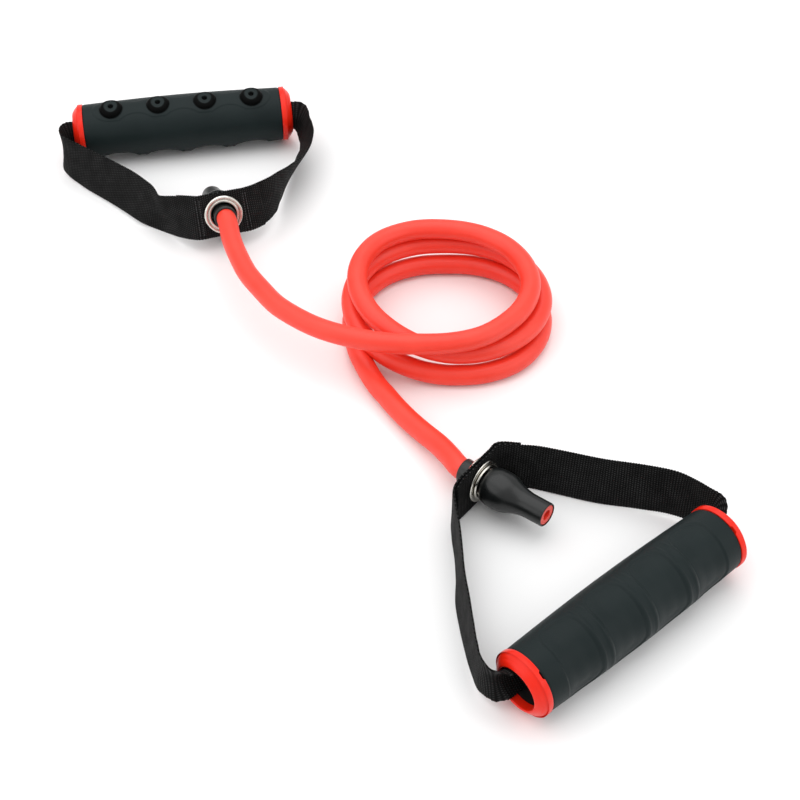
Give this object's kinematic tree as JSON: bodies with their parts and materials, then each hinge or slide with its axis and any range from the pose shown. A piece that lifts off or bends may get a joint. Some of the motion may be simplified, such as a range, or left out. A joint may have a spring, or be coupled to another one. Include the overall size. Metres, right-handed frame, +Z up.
{
  "type": "resistance band",
  "caption": "Elastic exercise tube with soft-grip tubular handles on webbing loops, lying on a floor with the spare tube in a loose coil.",
  "frame": {"origin": "on the floor, below the middle of the box round the two handles", "axes": "+Z up; the handles lie apart along +Y, handle a at +Y and handle b at -Y; +X is to the side that the coil lies on"},
  "size_m": [0.3652, 0.4487, 0.0378],
  "materials": {
    "tube_red_rubber": "smooth satin natural-rubber tube",
    "sleeve_black_rubber": "semi-gloss moulded rubber",
    "stopper_black_plastic": "plain moulded ball",
    "webbing_black": "plain-woven polypropylene webbing",
    "stitching_black": "polyester thread rows",
    "eyelet_nickel": "polished nickel plate",
    "grip_grey_rubber": "matte soft-touch rubber, fine grain",
    "core_black_plastic": "extruded plastic tube",
    "cap_red_plastic": "satin moulded plastic"
  },
  "bodies": {
    "band": {"tube_coil": "tube_red_rubber", "tube_lead_a": "tube_red_rubber", "tube_lead_b": "tube_red_rubber", "end_sleeve_a": "sleeve_black_rubber", "stopper_ball_a": "stopper_black_plastic", "end_sleeve_b": "sleeve_black_rubber", "stopper_ball_b": "stopper_black_plastic"},
    "loop_a": {"strap_a": "webbing_black", "stitching_a_left": "stitching_black", "stitching_a_right": "stitching_black", "eyelet_a": "eyelet_nickel", "eyelet_washer_a": "eyelet_nickel"},
    "handle_a": {"grip_a": "grip_grey_rubber", "core_tube_a": "core_black_plastic", "end_cap_a_left": "cap_red_plastic", "end_cap_a_right": "cap_red_plastic"},
    "loop_b": {"strap_b": "webbing_black", "stitching_b_left": "stitching_black", "stitching_b_right": "stitching_black", "eyelet_b": "eyelet_nickel", "eyelet_washer_b": "eyelet_nickel"},
    "handle_b": {"grip_b": "grip_grey_rubber", "core_tube_b": "core_black_plastic", "end_cap_b_left": "cap_red_plastic", "end_cap_b_right": "cap_red_plastic"}
  },
  "joints": [
    {"name": "loop_a_swivel", "type": "hinge", "parent": "band", "child": "loop_a", "pos_m": [-0.07543, 0.10511, 0.0208], "axis": [-0.2725, 0.8896, -0.3665], "continuous": true},
    {"name": "handle_a_spin", "type": "hinge", "parent": "loop_a", "child": "handle_a", "pos_m": [-0.1078, 0.1992, 0.0175], "axis": [-0.9876, -0.1569, 0], "continuous": true},
    {"name": "loop_b_swivel", "type": "hinge", "parent": "band", "child": "loop_b", "pos_m": [0.06484, -0.09032, 0.013], "axis": [0.7788, -0.6248, 0.0558], "continuous": true},
    {"name": "handle_b_spin", "type": "hinge", "parent": "loop_b", "child": "handle_b", "pos_m": [0.1261, -0.1704, 0.0178], "axis": [0.7631, 0.6463, 0], "continuous": true}
  ]
}
